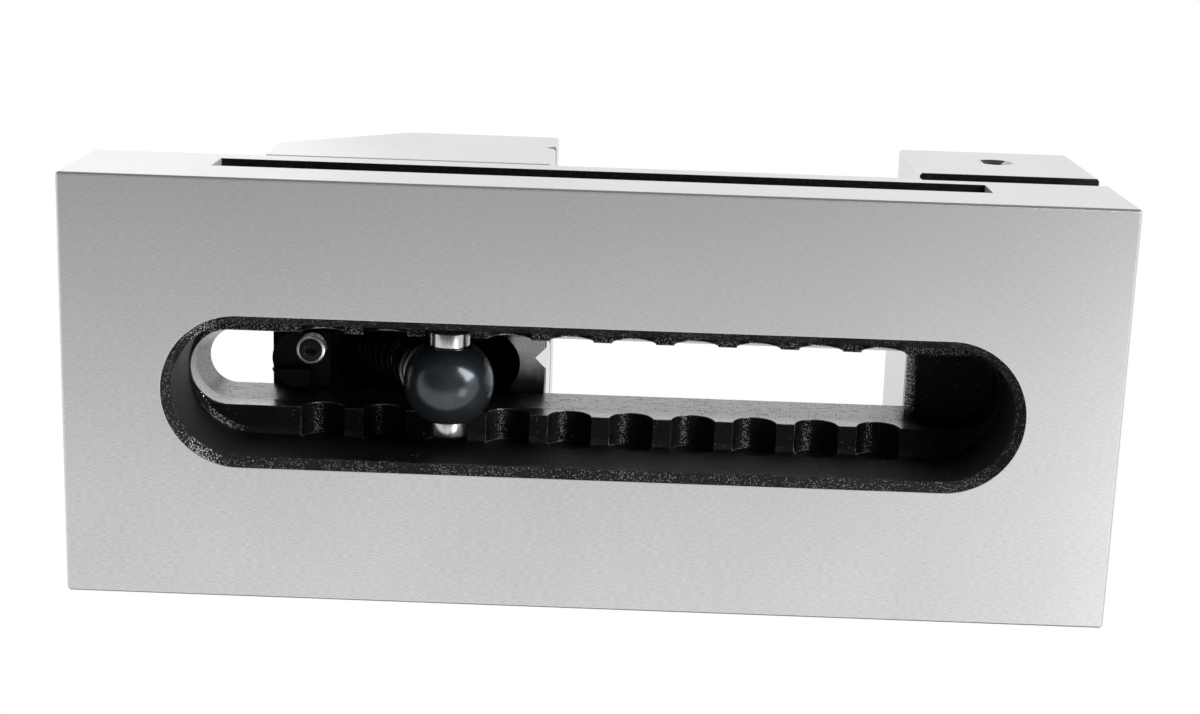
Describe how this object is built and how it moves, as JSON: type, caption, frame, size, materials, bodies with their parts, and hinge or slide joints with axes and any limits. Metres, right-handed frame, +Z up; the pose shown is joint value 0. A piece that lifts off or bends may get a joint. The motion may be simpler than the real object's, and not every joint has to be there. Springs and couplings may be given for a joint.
{
  "type": "precision toolmaker's vise",
  "caption": "Ground steel pull-down vise: fixed jaw in one piece with a notched bed, and a sliding jaw drawn down by a slanted screw with a ball nut.",
  "frame": {"origin": "on the ground plane, in the middle of the vise's footprint", "axes": "+X along the bed towards the fixed jaw, +Z up, Y across the jaws"},
  "size_m": [0.245, 0.1, 0.086],
  "materials": {
    "ground_steel": "surface-ground tool steel, black paint in the recesses",
    "jaw_steel": "surface-ground tool steel",
    "black_steel": "black oxide",
    "bright_steel": "bright plated",
    "washer_steel": "hardened, dull",
    "screw_steel": "hardened, oiled",
    "spring_steel": "spring wire",
    "ball_steel": "black oxide, polished",
    "pin_steel": "polished ground pin"
  },
  "bodies": {
    "bed": {"vise_body": "ground_steel"},
    "jaw": {"moving_jaw": "jaw_steel", "guide_block": "black_steel", "guide_block_screw": "bright_steel", "screw_seat_ring": "washer_steel"},
    "rocker": {"round_washer": "washer_steel", "spring_washer": "washer_steel", "release_spring": "spring_steel"},
    "screw": {"pull_screw": "screw_steel"},
    "nut": {"ball_nut": "ball_steel", "trunnion_pin_near": "pin_steel", "trunnion_pin_far": "pin_steel"}
  },
  "joints": [
    {"name": "jaw_slide", "type": "slide", "parent": "bed", "child": "jaw", "axis": [1, 0, 0], "range_m": [-0.015, 0.09]},
    {"name": "screw_swing", "type": "hinge", "parent": "jaw", "child": "rocker", "pos_m": [-0.0647, 0, 0.06983], "axis": [0, -1, 0], "range_deg": [0, 2.29]},
    {"name": "screw_spin", "type": "hinge", "parent": "rocker", "child": "screw", "pos_m": [-0.0342, 0, 0.017], "axis": [0.5, 0, -0.866], "range_deg": [0, 1430.9]},
    {"name": "nut_draw", "type": "slide", "parent": "rocker", "child": "nut", "axis": [-0.5, 0, 0.866], "range_m": [0, 0.00596], "deforming": ["release_spring"]}
  ],
  "couplings": [
    {"joint": "screw_spin", "follows": "nut_draw", "rad_per_m": 4188.8},
    {"joint": "screw_swing", "follows": "nut_draw", "rad_per_m": 6.6982}
  ]
}
